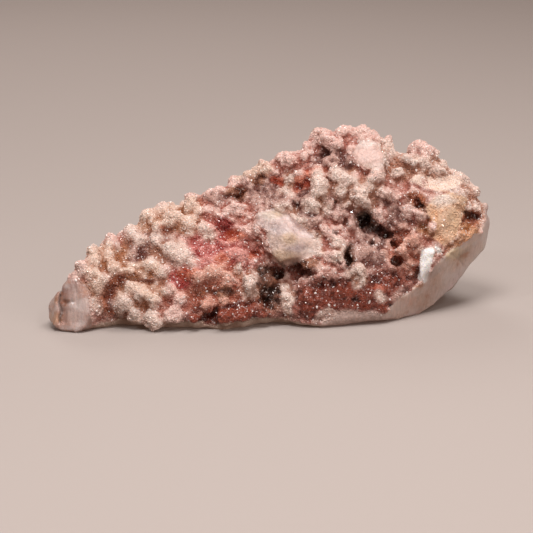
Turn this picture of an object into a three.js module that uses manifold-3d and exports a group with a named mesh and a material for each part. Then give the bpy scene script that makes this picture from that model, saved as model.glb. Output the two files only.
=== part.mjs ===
// A pink amethyst cluster: one long piece of banded chalcedony rind whose front and crown are
// overgrown with knobs of drusy pink quartz. Open vugs lie between the knobs, two broken faces
// show the pale layers inside, and the left tip, the right shoulder and the base are ground smooth.
// Millimetres, +Z up, the crystal front towards -Y. It stands on its ground base at z = 0.

import * as THREE from "three";
import { mergeVertices } from "three/addons/utils/BufferGeometryUtils.js";
import Module from "manifold-3d";

const wasm = await Module();
wasm.setup();

// The front is laid out as an eye in front of the stone sees it. Places are given as [across, up] in
// millimetres on a plane through the front foot, and sight lines carry them from there to the stone.
const VIEW_ELEVATION = THREE.MathUtils.degToRad(15);
const VIEW_DISTANCE = 1200;
const VIEW_AIM = [-1.5, 32];
const FRONT_FOOT_Y = -38;

// The layout's origin is under the crown. This moves the finished stone to its own bottom centre.
const TO_BOTTOM_CENTRE = new THREE.Vector3(-1.975, -2.186, 0);

// Lines along the stone, as [across, value] points: the crown and the front foot as they are seen.
const crownUp = curve([
  [-111, 12], [-106, 19], [-98, 29], [-85, 41], [-70, 49], [-53, 59], [-45, 59], [-37, 63], [-27, 67.5],
  [-15, 70], [-5, 78], [3, 84], [12, 86], [20, 90], [30, 96], [40, 98], [50, 97.5], [58, 90],
  [66, 86], [74, 89], [82, 88], [90, 79], [100, 71], [107, 61], [111, 54],
]);
const footUp = curve([
  [-111, 4], [-104, -2], [-95, 0.5], [-83, 4], [-71, 5.5], [-55, 2.5], [-40, 2], [-23, 0], [-12, 2],
  [4, 6], [16, 3], [27, 1.5], [43, 4], [60, 5.5], [73, 6], [79, 8.5], [85, 12.5], [91, 18], [97, 25],
  [103, 32], [111, 46],
]);
// How far back the front foot, the crown and the back lie.
const footY = curve([
  [-111, -38], [-104, -47], [-95, -45], [-80, -36], [-70, -34], [-50, -37], [-23, -38], [0, -31],
  [25, -37], [43, -33], [60, -28], [73, -21], [85, -11], [97, -2], [111, 8],
]);
const crownY = curve([
  [-111, -38], [-104, -41], [-98, -37], [-88, -26], [-80, -19], [-55, -4], [-20, 5], [20, 9], [60, 12], [90, 13], [111, 14],
]);
const backY = curve([
  [-111, -26], [-98, -10], [-80, 8], [-55, 26], [-20, 38], [20, 44], [60, 45], [85, 40], [100, 31],
  [111, 20],
]);
// How high the underside lies, and how far the front swells out between its rim and the crown.
const undersideZ = curve([[-111, 5], [-104, -1.5], [70, -1.5], [80, 2], [91, 10], [103, 22], [111, 34]]);
const swell = curve([[-111, 1], [-90, 1], [-60, 5], [-20, 6], [20, 4], [60, 3], [85, 9], [105, 8], [111, 2]]);

const END_ACROSS = 111;
const STATIONS = 23;
const RING_POINTS = 20;
const RIM_HEIGHT = 8;
const FRONT_RIPPLE = 0.9;
const BACK_RIPPLE = 2.4;

// Broad bowls and open vugs in the front, as [across, up, radius, depth].
const BOWLS = [[51, 50, 30, 7], [-31, 44, 26, 4], [9, 24, 17, 5], [86, 66, 16, 3]];
const VUGS = [
  [48, 53, 6, 7], [56, 49, 5.5, 7], [63, 43, 4, 5], [40, 37, 3.4, 4], [65, 34, 4, 5], [71, 27, 5, 6],
  [4, 30, 5, 6], [12, 29, 5, 6], [-1, 17, 6, 6], [28, 88, 5.5, 5], [-16, 69, 6, 4],
  [-81, 17, 5, 4], [-22, 36, 5, 2.5], [-29, 8, 4, 3.5], [80, 76, 3.4, 4], [101, 57, 3.6, 5],
];

// Drusy knobs by the part of the front that they stand on, as [across, up, radius].
const KNOBS = {
  tip: [[-91, 28, 3.6], [-87, 34, 3.8], [-84, 24, 4.2], [-95, 31, 3]],
  leftSlope: [
    [-78, 41, 4], [-80, 35, 4], [-77, 28, 4], [-70, 47.5, 4], [-62, 54.5, 4], [-56, 51, 4.2],
    [-48, 55, 4.6], [-40, 58.5, 4.8], [-42, 51, 4.6], [-56, 44.5, 4.2], [-65, 44, 4.4], [-68, 37, 4.4],
    [-50, 39, 4.6], [-60, 33, 4.4], [-69, 30, 4], [-53, 29, 3.8], [-44, 35, 4.2],
  ],
  leftFoot: [
    [-70, 22, 4.4], [-74, 14, 4.6], [-64, 17.5, 4.2], [-67, 7.5, 4.6], [-58, 5.5, 5], [-57, 14, 4.2],
    [-50, 19.5, 4], [-45, 14.5, 4.6], [-48, 7.5, 5], [-38, 6.5, 5],
  ],
  redHeart: [
    [-29, 65.5, 4], [-20, 67, 4], [-16, 60.5, 4], [-34, 58, 4.2], [-30, 49.5, 4.8], [-23, 57, 3.8],
    [-12, 48.5, 4.4], [-17, 37, 4.4], [-22, 44, 3.8], [-37, 27, 5], [-28.5, 29, 4.8],
    [-20.5, 24.5, 6],
  ],
  middleFoot: [
    [-10, 22, 5], [-3.5, 26, 4.2], [5.5, 15, 4.2], [-6.5, 10, 5.2], [-14.5, 8.5, 5.2], [-22.5, 7, 5.6],
    [-31, 12, 4.4], [-24, 15, 4.2],
  ],
  middleSlope: [
    [6, 61.5, 4.2], [17, 55, 4.6], [22, 62, 5], [29, 63.5, 4.2], [25, 69, 4.8], [24.5, 54, 4],
    [31.5, 56.5, 4.2], [31, 49, 4], [13, 65, 4], [34, 42.5, 4.4], [31.5, 35, 4.2], [31.5, 28, 4],
    [24.5, 27.5, 4], [39, 51.5, 4],
  ],
  crown: [
    [-8, 74, 4.4], [1, 77.5, 4.2], [10, 83, 4.4], [18, 86, 4.2], [24, 93.5, 4.6], [33, 92.5, 4.6],
    [31, 83, 4.6], [14, 75.5, 4.4], [22.5, 77, 4.6], [35, 69.5, 4], [40, 98, 4.2],
  ],
  creamRidge: [[34, 78, 4], [38.5, 73.5, 4.6], [44.5, 66.5, 5.8], [54, 78, 5.4], [49, 72.5, 4.2]],
  rightHollow: [
    [56.5, 68, 4.8], [62, 65, 4], [56, 59, 4], [69.5, 59.5, 4.2], [76, 56, 4.2], [66, 51.5, 3.8],
    [72, 45, 5], [66, 39, 4], [48.5, 38.5, 4.6], [56, 36, 4.2], [61.5, 31, 4.2], [44, 29, 4.2],
  ],
  rightCrown: [
    [61, 86.5, 4.4], [70, 83.5, 4.4], [63, 77, 4.2], [77, 84.5, 4.4], [85, 80, 4.2], [70, 67, 4.8],
    [73, 74, 4.4],
  ],
};
const KNOB_RISE = 0.35;
const KNOB_ROUGHNESS = 0.13;

// Knobs along the crown, which break the skyline, as [across, top, radius].
const CREST = [
  [-95, 37, 4], [-87.5, 44.5, 4.4], [-79.5, 50.8, 4.4], [-70.5, 55, 4.6], [-61.5, 61.8, 5],
  [-53, 65.2, 5.4], [-45.5, 63.8, 4], [-38.5, 69.3, 5.6], [-31, 69, 4], [-25, 74, 5.4],
  [-17, 75.4, 4.6], [-10, 80, 4.6], [-2.5, 86, 5.4], [6.5, 91, 5.4], [14, 91, 4.6], [20, 96, 5],
  [27.5, 102, 5.6], [38, 103.2, 5.8], [47.5, 103, 5], [53.5, 100, 4], [59, 95, 4.6], [66, 90.5, 4.4],
  [73.5, 95.5, 5.8], [82, 93.4, 4.8], [88, 85.5, 4.4], [94.5, 80, 5.2], [101, 73.5, 4.8],
  [106.5, 65.5, 4.4], [110, 57.5, 3.8],
];

// Knobs strewn over the far side of the crown, which no sight line reaches.
const BACK_KNOBS = { count: 15, across: [-84, 96], radius: [4, 6.4], behindCrown: [6, 17], seed: 41 };

// Broken blocks and the agate face: an outline as it is seen, a place on its face with the height of
// that place over the slope, and the ways its flat faces look.
const BLOCKS = {
  plateau: {
    outline: [
      [-8, 58], [-1, 59.5], [6, 56.5], [13, 48], [22, 44.5], [26, 39.5], [24, 37], [13, 36], [5, 33.5],
      [0, 39], [-5, 44.5], [-8, 54],
    ],
    middle: [8, 46], rise: 8, facing: [[0.1, -0.84, 0.53], [0.35, -0.93, 0.1], [-0.35, -0.86, 0.36]],
  },
  crownFace: {
    outline: [[40, 93], [49, 96], [55, 95], [59, 87.5], [58, 82], [49, 81], [42, 84], [39, 89]],
    middle: [49, 88.5], rise: 4.5, facing: [[-0.1, -0.8, 0.6]],
  },
  agateFace: {
    outline: [
      [70, 74], [77, 71], [83, 69.5], [90, 72.5], [97, 74], [101, 66], [99, 52], [94, 43], [86, 40],
      [82, 46], [80, 56], [77, 66],
    ],
    middle: [89, 60], rise: 3.5, facing: [[0.22, -0.92, 0.32], [0.5, -0.86, 0.05]],
  },
  glint: {
    outline: [[76.5, 39], [83, 41.5], [86, 40], [83, 36], [81.5, 31], [77, 23], [75, 28.5]],
    middle: [80, 35], rise: 2.2, facing: [[-0.3, -0.9, 0.3]],
  },
};
const BLOCK_ROOT = 22;

// Notches: straight cracks seen from one place to another, as [from, to, width].
const NOTCHES = [
  [[-103.5, 20], [-103.5, 3], 3], [[69, 76], [80, 72], 2], [[98, 64], [106, 57], 2.4],
];

// Ground faces: a place on the front, how deep the plane lies under it, and the way it faces.
const GROUND_FACES = [
  { at: [-95, 14], depth: 1.6, facing: [-0.22, -0.96, 0.16] },
  { at: [-107, 12], depth: 1.5, facing: [-0.85, -0.5, 0.15] },
  { at: [91, 27], depth: 3.5, facing: [0.64, -0.71, -0.29] },
  { at: [108, 46], depth: 1.5, facing: [0.93, -0.33, -0.12] },
];
// Flat chips off the back of the rind: the way each faces, and how deep it lies under the farthest point.
const CHIPS = [
  { facing: [-0.42, 0.84, 0.34], depth: 4.5 },
  { facing: [0.1, 0.97, -0.24], depth: 3.5 },
  { facing: [0.62, 0.74, 0.26], depth: 5 },
  { facing: [0.2, 0.68, 0.7], depth: 3 },
  { facing: [-0.66, 0.7, -0.26], depth: 5 },
];
const BEYOND = 400;

const STONE = { color: 0xd9ab9a, roughness: 0.55, metalness: 0 };

// A seeded random number from 0 to 1, so that the stone is the same each time it is built.
function random(seed) {
  let state = seed;
  return () => {
    state = (state + 0x6d2b79f5) | 0;
    let t = Math.imul(state ^ (state >>> 15), 1 | state);
    t = (t + Math.imul(t ^ (t >>> 7), 61 | t)) ^ t;
    return ((t ^ (t >>> 14)) >>> 0) / 4294967296;
  };
}

// A smooth line through [x, value] points, as a function of x.
function curve(points) {
  const slope = points.map((_, i) => {
    const before = points[Math.max(i - 1, 0)];
    const after = points[Math.min(i + 1, points.length - 1)];
    return (after[1] - before[1]) / (after[0] - before[0]);
  });
  return (x) => {
    const found = points.findIndex(([px]) => px > x);
    const i = found < 0 ? points.length - 2 : Math.max(found - 1, 0);
    const [[x0, v0], [x1, v1]] = [points[i], points[i + 1]];
    const t = THREE.MathUtils.clamp((x - x0) / (x1 - x0), 0, 1);
    const rise = t * t * (3 - 2 * t);
    const bend = slope[i] * t * (1 - t) ** 2 - slope[i + 1] * t * t * (1 - t);
    return v0 + (v1 - v0) * rise + bend * (x1 - x0);
  };
}

// Sight lines.
const forward = new THREE.Vector3(0, Math.cos(VIEW_ELEVATION), -Math.sin(VIEW_ELEVATION));
const upward = new THREE.Vector3(0, Math.sin(VIEW_ELEVATION), Math.cos(VIEW_ELEVATION));

function onPlane(across, up) {
  return new THREE.Vector3(across, FRONT_FOOT_Y, 0).addScaledVector(upward, up);
}

const eye = onPlane(...VIEW_AIM).addScaledVector(forward, -VIEW_DISTANCE);

function sightLine(across, up) {
  return new THREE.Ray(eye, onPlane(across, up).sub(eye).normalize());
}

function atDepth(across, up, y) {
  const line = sightLine(across, up);
  return line.at((y - eye.y) / line.direction.y, new THREE.Vector3());
}

// Solids and meshes.
function solidOf(geometry) {
  const bare = new THREE.BufferGeometry();
  const source = geometry.index ? geometry.toNonIndexed() : geometry;
  bare.setAttribute("position", source.getAttribute("position"));
  const merged = mergeVertices(bare, 1e-4);
  return new wasm.Manifold(
    new wasm.Mesh({
      numProp: 3,
      vertProperties: new Float32Array(merged.attributes.position.array),
      triVerts: new Uint32Array(merged.index.array),
    }),
  );
}

function geometryOf(solid) {
  const mesh = solid.getMesh();
  const geometry = new THREE.BufferGeometry();
  geometry.setAttribute("position", new THREE.BufferAttribute(mesh.vertProperties, 3));
  geometry.setIndex(new THREE.BufferAttribute(mesh.triVerts, 1));
  geometry.computeVertexNormals();
  return geometry;
}

// One section across the stone: foot, rim, front, crown, back and underside.
function ring(across) {
  const foot = atDepth(across, footUp(across), footY(across));
  const crown = atDepth(across, crownUp(across), crownY(across));
  const back = backY(across);
  const under = undersideZ(across);
  const height = crown.z - foot.z;
  const rim = new THREE.Vector3(foot.x, foot.y - 1, foot.z + Math.min(RIM_HEIGHT, height * 0.3));
  const face = rim.clone().lerp(crown, 0.5);
  const outward = new THREE.Vector3(0, rim.z - crown.z, crown.y - rim.y).normalize();
  face.addScaledVector(outward, swell(across));
  const { lerp } = THREE.MathUtils;
  const at = (y, z) => new THREE.Vector3(crown.x, y, z);
  const points = [
    foot, rim, face, crown,
    at(lerp(crown.y, back, 0.55), lerp(under, crown.z, 0.86)),
    at(back, lerp(under, crown.z, 0.45)),
    at(lerp(back, foot.y, 0.08), under + 3),
    at(lerp(back, foot.y, 0.3), under),
    at(lerp(back, foot.y, 0.82), Math.min(under, foot.z)),
  ];
  const around = new THREE.CatmullRomCurve3(points, true, "centripetal").getSpacedPoints(RING_POINTS);
  return around.slice(0, RING_POINTS);
}

// The rind's own long form, before anything grows on it: rings joined from end to end.
function rind() {
  const rings = [];
  for (let i = 0; i <= STATIONS; i++) {
    rings.push(ring(THREE.MathUtils.lerp(-END_ACROSS, END_ACROSS, i / STATIONS)));
  }
  const points = rings.flat();
  for (const p of points) {
    const wave = Math.sin(p.x * 0.11 + p.z * 0.16) + Math.sin(p.y * 0.15 - p.x * 0.07 + p.z * 0.09);
    const height = THREE.MathUtils.smoothstep(p.z, 0, RIM_HEIGHT * 2) * wave;
    const size = THREE.MathUtils.mapLinear(THREE.MathUtils.clamp(p.y, 0, 20), 0, 20, FRONT_RIPPLE, BACK_RIPPLE);
    p.z += height * size;
    p.y += height * size * Math.sign(p.y);
  }
  const middle = (list) => list.reduce((sum, p) => sum.add(p), new THREE.Vector3()).divideScalar(list.length);
  const ends = [middle(rings[0]), middle(rings[STATIONS])];
  const index = [];
  const last = STATIONS * RING_POINTS;
  for (let k = 0; k < RING_POINTS; k++) {
    const next = (k + 1) % RING_POINTS;
    index.push(points.length, k, next, points.length + 1, last + next, last + k);
    for (let i = 0; i < STATIONS; i++) {
      const [a, b] = [i * RING_POINTS + k, i * RING_POINTS + next];
      index.push(a, a + RING_POINTS, b, b, a + RING_POINTS, b + RING_POINTS);
    }
  }
  const geometry = new THREE.BufferGeometry().setFromPoints([...points, ...ends]);
  return geometry.setIndex(index);
}

// Where a sight line meets the stone, and the way the surface faces there. A line that passes over
// the crown is lowered until it meets it.
function surfaceFinder(solid) {
  const mesh = new THREE.Mesh(geometryOf(solid), new THREE.MeshBasicMaterial());
  return (across, up) => {
    let hits = [];
    for (let lowered = up; hits.length === 0; lowered -= 1) {
      const line = sightLine(across, lowered);
      hits = new THREE.Raycaster(line.origin, line.direction).intersectObject(mesh);
    }
    return { point: hits[0].point, normal: hits[0].face.normal };
  };
}

// A faceted round lump, a little uneven, turned at random.
function lump(centre, radius, rand) {
  const ball = new THREE.IcosahedronGeometry(radius, 0);
  ball.deleteAttribute("normal");
  ball.deleteAttribute("uv");
  const shape = mergeVertices(ball);
  const position = shape.getAttribute("position");
  for (let i = 0; i < position.count; i++) {
    const grow = 1 + (rand() - 0.5) * 2 * KNOB_ROUGHNESS;
    position.setXYZ(i, position.getX(i) * grow, position.getY(i) * grow, position.getZ(i) * grow);
  }
  const turn = new THREE.Euler(rand() * 6, rand() * 6, rand() * 6);
  shape.applyMatrix4(new THREE.Matrix4().makeRotationFromEuler(turn));
  return solidOf(shape.translate(...centre.toArray()));
}

// Hollows are cut with balls that stand outside the surface and dip into it.
function hollow(solid, places, ballOf) {
  const find = surfaceFinder(solid);
  for (const [across, up, radius, depth] of places) {
    const { point, normal } = find(across, up);
    solid = solid.subtract(ballOf(point.addScaledVector(normal, radius - depth), radius));
  }
  return solid;
}

function smoothBall(centre, radius) {
  return solidOf(new THREE.IcosahedronGeometry(radius, 2).translate(...centre.toArray()));
}

// A notch is the corner of a square bar laid along the surface.
function notch(solid, [from, to, width], find) {
  const [start, end] = [find(...from).point, find(...to).point];
  const along = end.clone().sub(start);
  const bar = new THREE.BoxGeometry(width, width, along.length()).rotateZ(Math.PI / 4);
  const turn = new THREE.Quaternion().setFromUnitVectors(new THREE.Vector3(0, 0, 1), along.normalize());
  bar.applyMatrix4(new THREE.Matrix4().makeRotationFromQuaternion(turn));
  return solid.subtract(solidOf(bar.translate(...start.lerp(end, 0.5).toArray())));
}

function growKnobs(solid) {
  const find = surfaceFinder(solid);
  const rand = random(23);
  for (const [across, up, radius] of Object.values(KNOBS).flat()) {
    const { point, normal } = find(across, up);
    solid = solid.add(lump(point.addScaledVector(normal, radius * KNOB_RISE), radius, rand));
  }
  for (const [across, top, radius] of CREST) {
    solid = solid.add(lump(atDepth(across, top - radius, crownY(across)), radius, rand));
  }
  return solid;
}

function growBackKnobs(solid) {
  const mesh = new THREE.Mesh(geometryOf(solid), new THREE.MeshBasicMaterial());
  const { count, across, radius, behindCrown, seed } = BACK_KNOBS;
  const rand = random(seed);
  const pick = ([low, high]) => THREE.MathUtils.lerp(low, high, rand());
  for (let i = 0; i < count; i++) {
    const x = THREE.MathUtils.lerp(...across, (i + rand()) / count);
    const above = new THREE.Vector3(x, crownY(x) + pick(behindCrown), BEYOND);
    const [hit] = new THREE.Raycaster(above, new THREE.Vector3(0, 0, -1)).intersectObject(mesh);
    solid = solid.add(lump(hit.point, pick(radius), rand));
  }
  return solid;
}

// A block's outline is run back into the stone along the middle sight line, then its faces are cut.
function block({ outline, middle, rise, facing }, find) {
  const { point } = find(...middle);
  const shape = new THREE.Shape(outline.map(([across, up]) => new THREE.Vector2(across, up)));
  const prism = new THREE.ExtrudeGeometry(shape, { depth: BLOCK_ROOT * 3, bevelEnabled: false });
  const behind = point.clone().sub(onPlane(0, 0)).dot(forward) + BLOCK_ROOT;
  const backward = forward.clone().negate();
  const frame = new THREE.Matrix4().makeBasis(new THREE.Vector3(1, 0, 0), upward, backward);
  prism.applyMatrix4(frame.setPosition(onPlane(0, 0).addScaledVector(forward, behind)));
  let solid = solidOf(prism);
  for (const way of facing) {
    const normal = new THREE.Vector3(...way).normalize();
    solid = cut(solid, point.clone().addScaledVector(normal, rise), normal);
  }
  return solid;
}

function chip(solid, { facing, depth }) {
  const normal = new THREE.Vector3(...facing).normalize();
  const position = geometryOf(solid).getAttribute("position");
  let farthest = new THREE.Vector3();
  for (let i = 0; i < position.count; i++) {
    const point = new THREE.Vector3().fromBufferAttribute(position, i);
    if (point.dot(normal) > farthest.dot(normal)) farthest = point;
  }
  return cut(solid, farthest.addScaledVector(normal, -depth), normal);
}

// Takes away all that lies past a plane.
function cut(solid, point, normal) {
  const box = new THREE.BoxGeometry(BEYOND, BEYOND, BEYOND);
  const turn = new THREE.Quaternion().setFromUnitVectors(new THREE.Vector3(0, 0, 1), normal);
  const middle = point.clone().addScaledVector(normal, BEYOND / 2);
  box.applyMatrix4(new THREE.Matrix4().compose(middle, turn, new THREE.Vector3(1, 1, 1)));
  return solid.subtract(solidOf(box));
}

let stone = solidOf(rind());
const findRind = surfaceFinder(stone);
for (const place of CHIPS) stone = chip(stone, place);
stone = hollow(stone, BOWLS, smoothBall);
for (const shape of Object.values(BLOCKS)) {
  stone = stone.add(block(shape, findRind));
}
const rand = random(7);
stone = hollow(stone, VUGS, (centre, radius) => lump(centre, radius, rand));
stone = growKnobs(stone);
stone = growBackKnobs(stone);
for (const { at, depth, facing } of GROUND_FACES) {
  const normal = new THREE.Vector3(...facing).normalize();
  stone = cut(stone, findRind(...at).point.addScaledVector(normal, -depth), normal);
}
const findNotch = surfaceFinder(stone);
for (const line of NOTCHES) stone = notch(stone, line, findNotch);
stone = cut(stone, new THREE.Vector3(0, 0, 0), new THREE.Vector3(0, 0, -1));

const cluster = new THREE.Mesh(geometryOf(stone), new THREE.MeshStandardMaterial(STONE));
cluster.name = "pink_amethyst_cluster";
cluster.position.copy(TO_BOTTOM_CENTRE);

const specimen = new THREE.Group();
specimen.add(cluster);

export default specimen;
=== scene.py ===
# %% [markdown]
# # A pink amethyst cluster
# The stone is one piece of banded chalcedony rind that a crust of drusy quartz grew over. The solid
# from the frame gives its form. Here it gets what a solid can't hold: the small florets between the
# knobs, tens of thousands of quartz points, and the colours of the quartz from cream to red.
# Everything is in metres in the frame's own place. Lengths in the tables are in millimetres, and
# times MM where they reach the scene.

import math

import bmesh
import bpy
import numpy as np
from mathutils import Matrix, Vector, noise
from mathutils.bvhtree import BVHTree


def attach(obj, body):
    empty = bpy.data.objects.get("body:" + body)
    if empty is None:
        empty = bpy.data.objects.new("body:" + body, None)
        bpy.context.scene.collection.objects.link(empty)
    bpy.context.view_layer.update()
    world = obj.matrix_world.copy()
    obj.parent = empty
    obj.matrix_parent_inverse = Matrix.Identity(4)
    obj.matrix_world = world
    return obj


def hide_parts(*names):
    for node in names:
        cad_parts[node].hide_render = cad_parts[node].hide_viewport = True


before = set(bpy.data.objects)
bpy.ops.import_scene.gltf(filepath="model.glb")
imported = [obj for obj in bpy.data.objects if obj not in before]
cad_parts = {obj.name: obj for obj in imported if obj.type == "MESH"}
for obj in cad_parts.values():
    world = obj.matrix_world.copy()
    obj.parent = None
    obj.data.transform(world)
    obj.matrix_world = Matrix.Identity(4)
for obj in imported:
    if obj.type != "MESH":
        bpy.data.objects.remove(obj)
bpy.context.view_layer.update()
NODE = "pink_amethyst_cluster"
MM = 0.001
WELD_DISTANCE = 1e-6
# The crust covers what faces forwards and up.
CRUST_FACES = np.array([0.0, -0.75, 0.66])
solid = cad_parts[NODE]
box_low = np.array([v.co for v in solid.data.vertices]).min(axis=0)
box_high = np.array([v.co for v in solid.data.vertices]).max(axis=0)
print("solid:", len(solid.data.polygons), "triangles, box", box_low.round(4), box_high.round(4))

# %% [markdown]
# ## Places on the front
# The front is laid out as the camera sees it, as in the part's source: a place is [across, up] in
# millimetres on a plane through the front foot. `seen` turns points of the stone into such places.

# %% Sight lines
ELEVATION = math.radians(15)
DISTANCE = 1200
# What the camera aims at, as [across, up].
AIM = (-1.5, 31.75)
# The part's source has its own zero, and the frame's is the middle of the solid's underside.
TO_BOTTOM_CENTRE = np.array([-1.975, -2.186, 0.0])
FRONT_FOOT = np.array([0.0, -38.0, 0.0]) + TO_BOTTOM_CENTRE
FORWARD = np.array([0.0, math.cos(ELEVATION), -math.sin(ELEVATION)])
UPWARD = np.array([0.0, math.sin(ELEVATION), math.cos(ELEVATION)])
EYE = FRONT_FOOT + np.array([AIM[0], 0.0, 0.0]) + UPWARD * AIM[1] - FORWARD * DISTANCE


def seen(points):
    """How far across and up each point is seen, in millimetres."""
    ray = points / MM - EYE
    on_plane = EYE + ray * (DISTANCE / (ray @ FORWARD))[:, None] - FRONT_FOOT
    return on_plane[:, 0], on_plane @ UPWARD


box_across, box_up = seen(np.array([box_low, box_high]))
print("seen from", box_across.round(1), "across and", box_up.round(1), "up")

# %% [markdown]
# ## Tools for the skin
# The real crust grew outward from the rind, so most steps push a skin's vertices along their normals
# and make one even skin of it again. Values at the vertices say where a step works, and how much.

# %% Helpers for meshes
def linear(hex_colour):
    channels = [int(hex_colour[i : i + 2], 16) / 255 for i in (1, 3, 5)]
    return tuple(c / 12.92 if c <= 0.04045 else ((c + 0.055) / 1.055) ** 2.4 for c in channels)


def new_object(name, mesh):
    made = bpy.data.objects.new(name, mesh)
    bpy.context.scene.collection.objects.link(made)
    return made


def baked(made, name):
    """The object's mesh with its modifiers applied, as a new object; the old one goes."""
    depsgraph = bpy.context.evaluated_depsgraph_get()
    mesh = bpy.data.meshes.new_from_object(made.evaluated_get(depsgraph), depsgraph=depsgraph)
    mesh.name = name
    bpy.data.objects.remove(made, do_unlink=True)
    return new_object(name, mesh)


def modify(made, kind, **settings):
    modifier = made.modifiers.new(kind, kind)
    for key, value in settings.items():
        setattr(modifier, key, value)


def coordinates(mesh):
    values = np.empty(len(mesh.vertices) * 3)
    mesh.vertices.foreach_get("co", values)
    return values.reshape(-1, 3)


def vertex_normals(mesh):
    values = np.empty(len(mesh.vertices) * 3)
    mesh.vertex_normals.foreach_get("vector", values)
    return values.reshape(-1, 3)


def kept_in_box(mesh):
    """Moves the few vertices that grew past the solid's box back onto it."""
    mesh.vertices.foreach_set("co", np.clip(coordinates(mesh), box_low, box_high).ravel())
    mesh.update()


def store(mesh, name, values):
    kind, key = ("FLOAT", "value") if values.ndim == 1 else ("FLOAT_COLOR", "color")
    if name in mesh.attributes:
        mesh.attributes.remove(mesh.attributes[name])
    mesh.attributes.new(name, kind, "POINT").data.foreach_set(key, values.astype(np.float32).ravel())


def smoothed(mesh, values, rounds):
    """Values at the vertices, averaged with their neighbours a number of times."""
    edges = np.empty(len(mesh.edges) * 2, dtype=np.int32)
    mesh.edges.foreach_get("vertices", edges)
    a, b = edges.reshape(-1, 2).T
    count = len(mesh.vertices)
    degree = np.maximum(np.bincount(a, minlength=count) + np.bincount(b, minlength=count), 1)
    columns = [values] if values.ndim == 1 else list(values.T)
    for _ in range(rounds):
        for i, column in enumerate(columns):
            near = np.bincount(a, column[b], count) + np.bincount(b, column[a], count)
            columns[i] = 0.5 * column + 0.5 * near / degree
    return columns[0] if values.ndim == 1 else np.stack(columns, axis=1)


def wavy(points, length, seed):
    """Smooth noise from -1 to 1 over points in metres, with waves about a length in millimetres."""
    scaled = points / (length * MM) + seed * 7.31
    return np.array([noise.noise(p) for p in scaled.tolist()])


def ramp(values, low, high):
    """0 at low, 1 at high and smooth between them. Low may be the larger of the two."""
    t = np.clip((values - low) / (high - low), 0, 1)
    return t * t * (3 - 2 * t)


# %% [markdown]
# ## Which surface is which
# The ground faces at both ends were cut on a lap and are smooth. The broken faces show solid
# chalcedony: a block in the middle of the front, a chip on the crown, a patch of yellow agate with its
# lip, a split face below it that is pale and painted pure white as a painted highlight, the ear on
# the right edge and a band along the foot. The back is bare rind. All the rest is crust, where the
# quartz grew free. A flat face is found on the solid by the way it faces, inside a polygon that has
# its corners where the face's corners are seen.

# %% Flat faces and zones
# name: (way it faces, least cosine to that, [across, up] of its corners)
FLAT_FACES = {
    "tip": (
        (-0.3, -0.95, 0.1), 0.0,
        [(-114, 22), (-108, 25), (-98, 26), (-91, 22), (-88, -4), (-114, -4)],
    ),
    "tip side": ((-0.85, -0.5, 0.15), 0.9995, [(-116, 36), (-100, 36), (-100, -12), (-116, -12)]),
    "shoulder": ((0.64, -0.71, -0.29), 0.9995, [(58, 62), (114, 62), (126, 10), (90, -10), (58, -10)]),
    "rim": ((0.93, -0.33, -0.12), 0.9995, [(96, 80), (120, 80), (120, 8), (96, 8)]),
    "ear": (
        (0.8, -0.5, 0.2), 0.2,
        [(107, 65), (110, 66), (114, 60), (114, 48), (109, 48), (108, 56)],
    ),
    "block top": (
        (0.0, -0.85, 0.5), -0.2,
        [(-7, 58), (2, 61), (9, 58), (23, 46), (8, 46), (-2, 50), (-6, 53)],
    ),
    "block foot": (
        (0.2, -0.95, 0.3), -0.2,
        [(-2, 50), (8, 46), (23, 46), (24, 38), (15, 34), (7, 31), (1, 38)],
    ),
    "crown face": (
        (-0.1, -0.8, 0.6), 0.2,
        [(41, 89), (46, 95), (56, 94), (61, 86), (58, 79), (47, 80)],
    ),
    "agate": (
        (0.3, -0.9, 0.3), 0.1,
        [(78, 61), (82, 66), (90, 69), (99, 66), (96, 55),
         (93, 46), (87, 42), (82, 46), (84, 53), (80, 56)],
    ),
    "lip": (
        (0.0, -0.7, 0.7), 0.1,
        [(69, 75), (78, 71), (88, 69), (98, 74), (93, 78), (84, 76), (74, 78)],
    ),
    "glint": (
        (-0.3, -0.9, 0.3), 0.1,
        [(76, 40), (84, 42), (87, 39), (83, 37), (81, 31), (78, 23), (74, 26)],
    ),
    "band": (
        (0.0, -0.9, -0.3), 0.1,
        [(25, 2), (36, 9), (50, 9.5), (61, 7), (67, 3), (60, -4), (30, -6)],
    ),
}
# Cut on a lap.
LAPPED = ("tip", "tip side", "shoulder", "rim")
# Broken, with a thin sugary crust on them.
SUGARED = ("agate", "lip")
# Worn places with few florets: ([across, up], [half width, half height], the share that they keep).
WORN = {
    "low slope": ((48, 11), (26, 12), 0.3), "left edge": ((-75, 50), (14, 6), 0.3),
    "crescent lip": ((84, 73), (14, 5), 0.4), "red heart": ((-34, 30), (16, 12), 0.6),
}
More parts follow.
